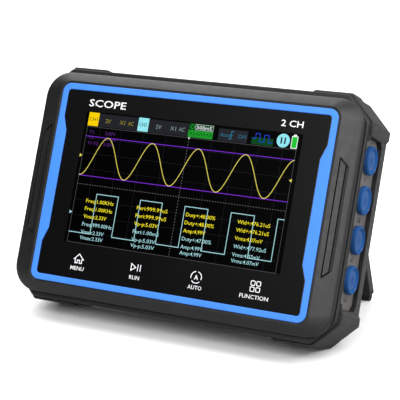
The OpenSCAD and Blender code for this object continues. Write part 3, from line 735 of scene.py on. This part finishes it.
def rear_shell():
    cavity = slab("cavity", cut_rect(70.2, 45.9, 10.4), 4.6, 29.0)
    keep = [box("bay_wall", -45.5, 45.5, 12, 40, 32.4, 60)]
    keep += [rod("boss", "Y", 7.2, 40, x, z, 4.2 if abs(x) > 40 else 3.8) for x, z in screw_places()]
    carved(cavity, keep)
    cutters = [cavity, box("bay", -43.5, 43.5, 14, 40, BAY_Z, 60),
               side_slab("side_window", cut_rect(8.9, 33.9, 2.4, JACK_Y, 0.12), 69.5, 75),
               box("stand_bay", -58.4, 58.4, 30.8, 40, -60, 32.8)]
    cutters += [rod("neck", "Y", 5, 20, x, z, 1.4, 24) for x, z in screw_places()]
    cutters += [rod("sink", "Y", 12, 40, x, z, 2.6) for x, z in screw_places()]
    for x in COAX_X:
        cutters.append(lathe("socket_hole", [(BAY_Z - 3, 4.65), (BAY_Z + 1, 4.65)],
                             (x, COAX_Y, 0), (0, 0, 1), 40))
    cutters += [rod("pin_hole", "X", i * 60.2 - 2.4, i * 60.2 + 2.4, HINGE_Y, HINGE_Z, 1.5, 24)
                for i in (-1, 1)]
    cutters += [rod("button_hole", "X", -75, -69.7, SIDE_Y, BUTTON_Z, 3.28),
                side_slab("usb_slot", round_rect(1.85, 4.8, 1.8, 6, SIDE_Y, USB_Z), -75, -69.7),
                side_slab("usb_dish", round_rect(3.1, 6.1, 3.05, 8, SIDE_Y, USB_Z), -75, -71.8)]
    obj = carved(shell_outer(), cutters)
    softened(obj, 0.22, 2, 42)
    return piece(obj, "body", SHELL, ["rear_shell"])


def bumper_outline(t, sx, sz):
    points = [(47.2 - t, 38), (47.2 - t, HALF_H + t - 0.8), (48.4 - t, HALF_H + t),
              (62.7 + t * 0.4, HALF_H + t), (HALF_W + t, 38.9 + t * 0.4), (HALF_W + t, 36.4 - t),
              (HALF_W + t - 0.8, 35.2 - t), (60, 35.2 - t)]
    return [(sx * x, sz * z) for x, z in points]


def corner_bumpers():
    parts = []
    for sx in (-1, 1):
        for sz in (-1, 1):
            one = slab("bumper", bumper_outline(1.1, sx, sz), 8.5, 18)
            joined(one, [slab("low", bumper_outline(0.5, sx, sz), 17.9, 30.8)])
            carved(one, [shell_outer("core", groove=False)])
            parts.append(softened(one, 0.28, 3, 25))
    obj = merged("corner_bumpers_soft", parts)
    floor = bmesh.new()
    floor.from_mesh(obj.data)
    down = (LOCAL.inverted() @ Vector((0, 0, 0)))
    normal = LOCAL.inverted().to_3x3() @ Vector((0, 0, -1))
    cut = bmesh.ops.bisect_plane(floor, geom=floor.verts[:] + floor.edges[:] + floor.faces[:],
                                 plane_co=down, plane_no=normal, clear_outer=True)
    bmesh.ops.holes_fill(floor, edges=[e for e in cut["geom_cut"]
                                       if isinstance(e, bmesh.types.BMEdge)])
    floor.to_mesh(obj.data)
    floor.free()
    return piece(obj, "body", RUBBER, ["corner_bumpers"])


rear_shell()
corner_bumpers()

# ---- meter side ----


def jack_panel():
    obj = side_slab("side_panel", cut_rect(8.8, 33.8, 2.4, JACK_Y, 0.12), 68.9, PANEL_X)
    joined(obj, [side_slab("flange", cut_rect(10.2, 35.2, 2.4, JACK_Y, 0.12), 68.9, 70.1)])
    carved(obj, [rod("hole", "X", 60, 80, JACK_Y, z, 5.25, 48) for z in JACK_Z])
    softened(obj, 0.25, 2, 40)
    return piece(obj, "body", PANEL, ["jack_panel"])


def dust_plug(number, z):
    profile = [(72.05, 0), (72.05, 3.6), (72.1, 4.2), (72.28, 4.5), (72.5, 4.62), (72.62, 4.7),
               (72.7, 4.9), (72.7, 5.2), (72.62, 5.45), (72.45, 5.62), (72.2, 5.7), (70.9, 5.7),
               (70.75, 5.62), (70.6, 5.4), (70.6, 4.2), (64.3, 4.2), (64.0, 4.05), (64.0, 3.5),
               (64.2, 3.4), (70.6, 3.4), (70.6, 1.95), (60.7, 1.95), (60.2, 1.7), (60.0, 1.3),
               (60.0, 0)]
    obj = lathe(f"soft_plug_{number}", profile, (0, JACK_Y, z), (1, 0, 0), 64)
    return piece(obj, f"plug_{number}", PLUG, [f"dust_plug_{number}"], angle=40)


def panel_marks():
    """Plain jack names between the plugs, reading with the body turned on its side."""
    parts = []
    for text, z, width in (("V", 17.5, 2.0), ("COM", 1.8, 5.2), ("mA", -13.9, 3.8),
                           ("10A", -29.6, 4.6)):
        verts, faces, wide, tall = glyphs(text, 0.02)
        points = [(PANEL_X + (0.02 if vz > 0 else -0.01), JACK_Y + (vx / wide - 0.5) * width,
                   z + (vy / tall - 0.5) * 2.0) for vx, vy, vz in verts]
        parts.append(solid("mark", points, faces))
    obj = merged("panel_marks", parts)
    return piece(obj, "body", PANEL_INK)


jack_panel()
for number, z in enumerate(JACK_Z, 1):
    dust_plug(number, z)
panel_marks()

# ---- rear stand ----


def stand_leg():
    obj = box("stand_plate", -58, 58, -2.2, 2.2, 0.6 - LEG, 0)
    barrel = rod("barrel", "X", -58, 58, 0, 0, 2.4, 48)
    joined(obj, [barrel, box("heel", -44, 44, 0.001, 2.2, -1, 3.4)])
    cutters = [box("pocket", x - 11, x + 11, -5, 0.4, z - 9.5, z + 9.5)
               for x in (-37.5, -12.5, 12.5, 37.5) for z in (-18.5, -40.5)]
    cutters.append(rod("scoop", "Y", -5, 5, 0, 1.2 - LEG, 9, 64))
    cutters.append(box("foot_groove", -59, 59, -0.8, 0.8, -LEG - 1, 2.6 - LEG))
    cutters += [rod("pin_bore", "X", i * 55 - 4, i * 55 + 4, 0, 0, 1.55, 32) for i in (-1, 1)]
    carved(obj, cutters)
    softened(obj, 0.4, 3, 40)
    return piece(obj, "stand", STAND_BLACK, ["stand_leg"], STAND)


stand_leg()

# ---- coaxial sockets ----


def coax_socket(x):
    base = (x, COAX_Y, BAY_Z)
    shell = lathe("coax_shell", [
        (-8, 3.2), (-8, 4.4), (-7.8, 4.55), (0, 4.55), (0, 6.4), (0.2, 6.6), (1.3, 6.6),
        (1.6, 6.3), (1.6, 4.55), (10.55, 4.55), (10.7, 4.85), (13.7, 4.85), (14, 4.6),
        (14, 4.25), (13.8, 4.05), (3, 4.05), (3, 3.2)], base, (0, 0, 1), 64)
    lugs = [lathe("lug", [(4.3, 1.0), (5.35, 1.0), (5.55, 0.8)],
                  (x, COAX_Y, BAY_Z + 9), (s, 0, 0), 24) for s in (-1, 1)]
    insulator = lathe("coax_insulator", [
        (-8, 0.95), (-8, 3.15), (3.5, 3.15), (3.6, 3.0), (3.6, 2.4), (11.8, 2.4), (12, 2.2),
        (12, 1.2), (11.8, 0.95)], base, (0, 0, 1), 48)
    contact = lathe("coax_contact", [
        (-9.8, 0), (-9.8, 0.7), (-9.6, 0.9), (11.2, 0.9), (11.4, 0.75), (11.4, 0.5), (6.4, 0.5),
        (6.4, 0)], base, (0, 0, 1), 32)
    return merged("one", [shell] + lugs), insulator, contact


sockets = [coax_socket(x) for x in COAX_X]
for name, which, finish, slot in (("coax_barrels", 0, NICKEL, "nickel"),
                                  ("coax_liners", 1, WHITE_PLASTIC, "white_plastic"),
                                  ("coax_pins", 2, BRASS, "gold_brass")):
    group = merged(name, [s[which] for s in sockets])
    piece(group, "body", finish,
          [{"nickel": "coax_shells", "white_plastic": "coax_insulators",
            "gold_brass": "coax_contacts"}[slot]], angle=35)

# ---- side controls ----


def power_button():
    cap = lathe("button_cap", [
        (-68.7, 0), (-68.7, 4.2), (-69.65, 4.2), (-69.65, 3.2), (-72.85, 3.2), (-73.15, 3.05),
        (-73.3, 2.75), (-73.25, 2.3), (-73.15, 1.5), (-73.1, 0)], (0, SIDE_Y, BUTTON_Z), (1, 0, 0), 56)
    stem = lathe("button_stem", [(-68.8, 1.2), (-67.7, 1.2)], (0, SIDE_Y, BUTTON_Z), (1, 0, 0), 24)
    obj = merged("power_cap", [cap, stem])
    return piece(obj, "power_button", BUTTON, ["power_button"], angle=40)


power_button()

# ---- finishes of the CAD nodes that stay ----

KEPT = {
    "black_rubber": GASKET, "touch_film": glassy("touch_film", (0.02, 0.02, 0.022), 0.2),
    "screen_metal": SHEET, "sheet_steel": SHEET, "screw_steel": STEEL, "circuit_board": BOARD,
    "dark_screw": DARK_STEEL, "jack_plastic": JACK_BLACK, "gold_brass": BRASS,
    "ceramic": moulded("ceramic", (0.7, 0.68, 0.62), 0.3, amount=0.04),
    "clip_metal": metal("clip_metal", (0.6, 0.6, 0.62), 0.3), "nickel": NICKEL,
    "white_plastic": WHITE_PLASTIC,
    "chip_epoxy": moulded("chip_epoxy", (0.012, 0.012, 0.013), 0.55),
    "battery_foil": metal("battery_foil", (0.55, 0.56, 0.58), 0.4, (1, 8, 1)),
    "foam": moulded("foam", (0.03, 0.03, 0.032), 0.9, grain=0.08),
    "amber_film": glassy("amber_film", (0.5, 0.2, 0.03), 0.25),
}
slots = {part["node"]: part["material_slot"] for part in record["subparts"]}

for name, obj in nodes.items():
    if not obj.hide_render:
        slot = slots.get(name)
        finish = KEPT.get(slot, SHELL)
        obj.data.materials.clear()
        obj.data.materials.append(finish)

# ---- camera ----

bpy.context.scene.view_settings.view_transform = "Standard"
AZIMUTH, ELEVATION = math.radians(26.889), math.radians(15.432)
right = Vector((math.cos(AZIMUTH), math.sin(AZIMUTH), 0))
back = Vector((math.sin(AZIMUTH) * math.cos(ELEVATION), -math.cos(AZIMUTH) * math.cos(ELEVATION),
               math.sin(ELEVATION)))
above = back.cross(right)
face_centre = LOCAL @ Vector((0, 0, 0))
spot = face_centre + (right * 8.713 - above * 1.264 + back * 581.03) * 0.001
lens = bpy.data.cameras.new("camera")
lens.lens, lens.sensor_width = 130.68, 36
camera = bpy.data.objects.new("camera", lens)
camera.matrix_world = Matrix.Translation(spot) @ Matrix((right, above, back)).transposed().to_4x4()
bpy.context.scene.collection.objects.link(camera)
bpy.context.scene.camera = camera

# ---- floor, sky and lamps ----


def studio_floor():
    size = 6.0
    floor = solid("floor", [(-size, -size, 0), (size, -size, 0), (size, size, 0), (-size, size, 0)],
                  [(0, 1, 2, 3)])
    floor.location.z = -0.00002
    mat = bpy.data.materials.new("pale_floor")
    mat.use_nodes = True
    tree = mat.node_tree
    tree.nodes.clear()
    out = tree.nodes.new("ShaderNodeOutputMaterial")
    seen, plain = tree.nodes.new("ShaderNodeBsdfDiffuse"), tree.nodes.new("ShaderNodeBsdfDiffuse")
    seen.inputs["Color"].default_value = (1.0, 1.0, 1.0, 1)
    plain.inputs["Color"].default_value = (0.4, 0.4, 0.4, 1)
    path, mix = tree.nodes.new("ShaderNodeLightPath"), tree.nodes.new("ShaderNodeMixShader")
    tree.links.new(path.outputs["Is Camera Ray"], mix.inputs["Fac"])
    tree.links.new(plain.outputs[0], mix.inputs[1])
    tree.links.new(seen.outputs[0], mix.inputs[2])
    tree.links.new(mix.outputs[0], out.inputs["Surface"])
    floor.data.materials.append(mat)


def studio_sky():
    world = bpy.data.worlds.new("studio")
    bpy.context.scene.world = world
    world.use_nodes = True
    tree = world.node_tree
    tree.nodes.clear()
    out = tree.nodes.new("ShaderNodeOutputWorld")
    where = tree.nodes.new("ShaderNodeTexCoord")
    along = tree.nodes.new("ShaderNodeVectorMath")
    along.operation = "DOT_PRODUCT"
    along.inputs[1].default_value = (0.8, 0.0, 0.6)
    spread = tree.nodes.new("ShaderNodeMapRange")
    spread.interpolation_type = "SMOOTHSTEP"
    for name, value in (("From Min", -0.22), ("From Max", 0.25), ("To Min", 0.03),
                        ("To Max", 0.9)):
        spread.inputs[name].default_value = value
    dim, bright = tree.nodes.new("ShaderNodeBackground"), tree.nodes.new("ShaderNodeBackground")
    bright.inputs["Strength"].default_value = 1.05
    path, mix = tree.nodes.new("ShaderNodeLightPath"), tree.nodes.new("ShaderNodeMixShader")
    tree.links.new(where.outputs["Generated"], along.inputs[0])
    tree.links.new(along.outputs["Value"], spread.inputs["Value"])
    tree.links.new(spread.outputs["Result"], dim.inputs["Strength"])
    tree.links.new(path.outputs["Is Camera Ray"], mix.inputs["Fac"])
    tree.links.new(dim.outputs[0], mix.inputs[1])
    tree.links.new(bright.outputs[0], mix.inputs[2])
    tree.links.new(mix.outputs[0], out.inputs["Surface"])


def lamp(name, place, size, power, target=(0, 0, 0.05)):
    light = bpy.data.lights.new(name, "AREA")
    light.shape, light.size, light.size_y, light.energy = "RECTANGLE", *size, power
    obj = bpy.data.objects.new(name, light)
    obj.location = place
    aim = Vector(target) - Vector(place)
    obj.rotation_euler = aim.to_track_quat("-Z", "Y").to_euler()
    bpy.context.scene.collection.objects.link(obj)


studio_floor()
studio_sky()
lamp("key", (0.25, -1.15, 0.95), (1.1, 0.9), 15)
lamp("top", (-0.7, 0.4, 1.25), (1.3, 1.3), 20)
lamp("side", (0.9, -0.1, 0.9), (0.5, 0.8), 10)
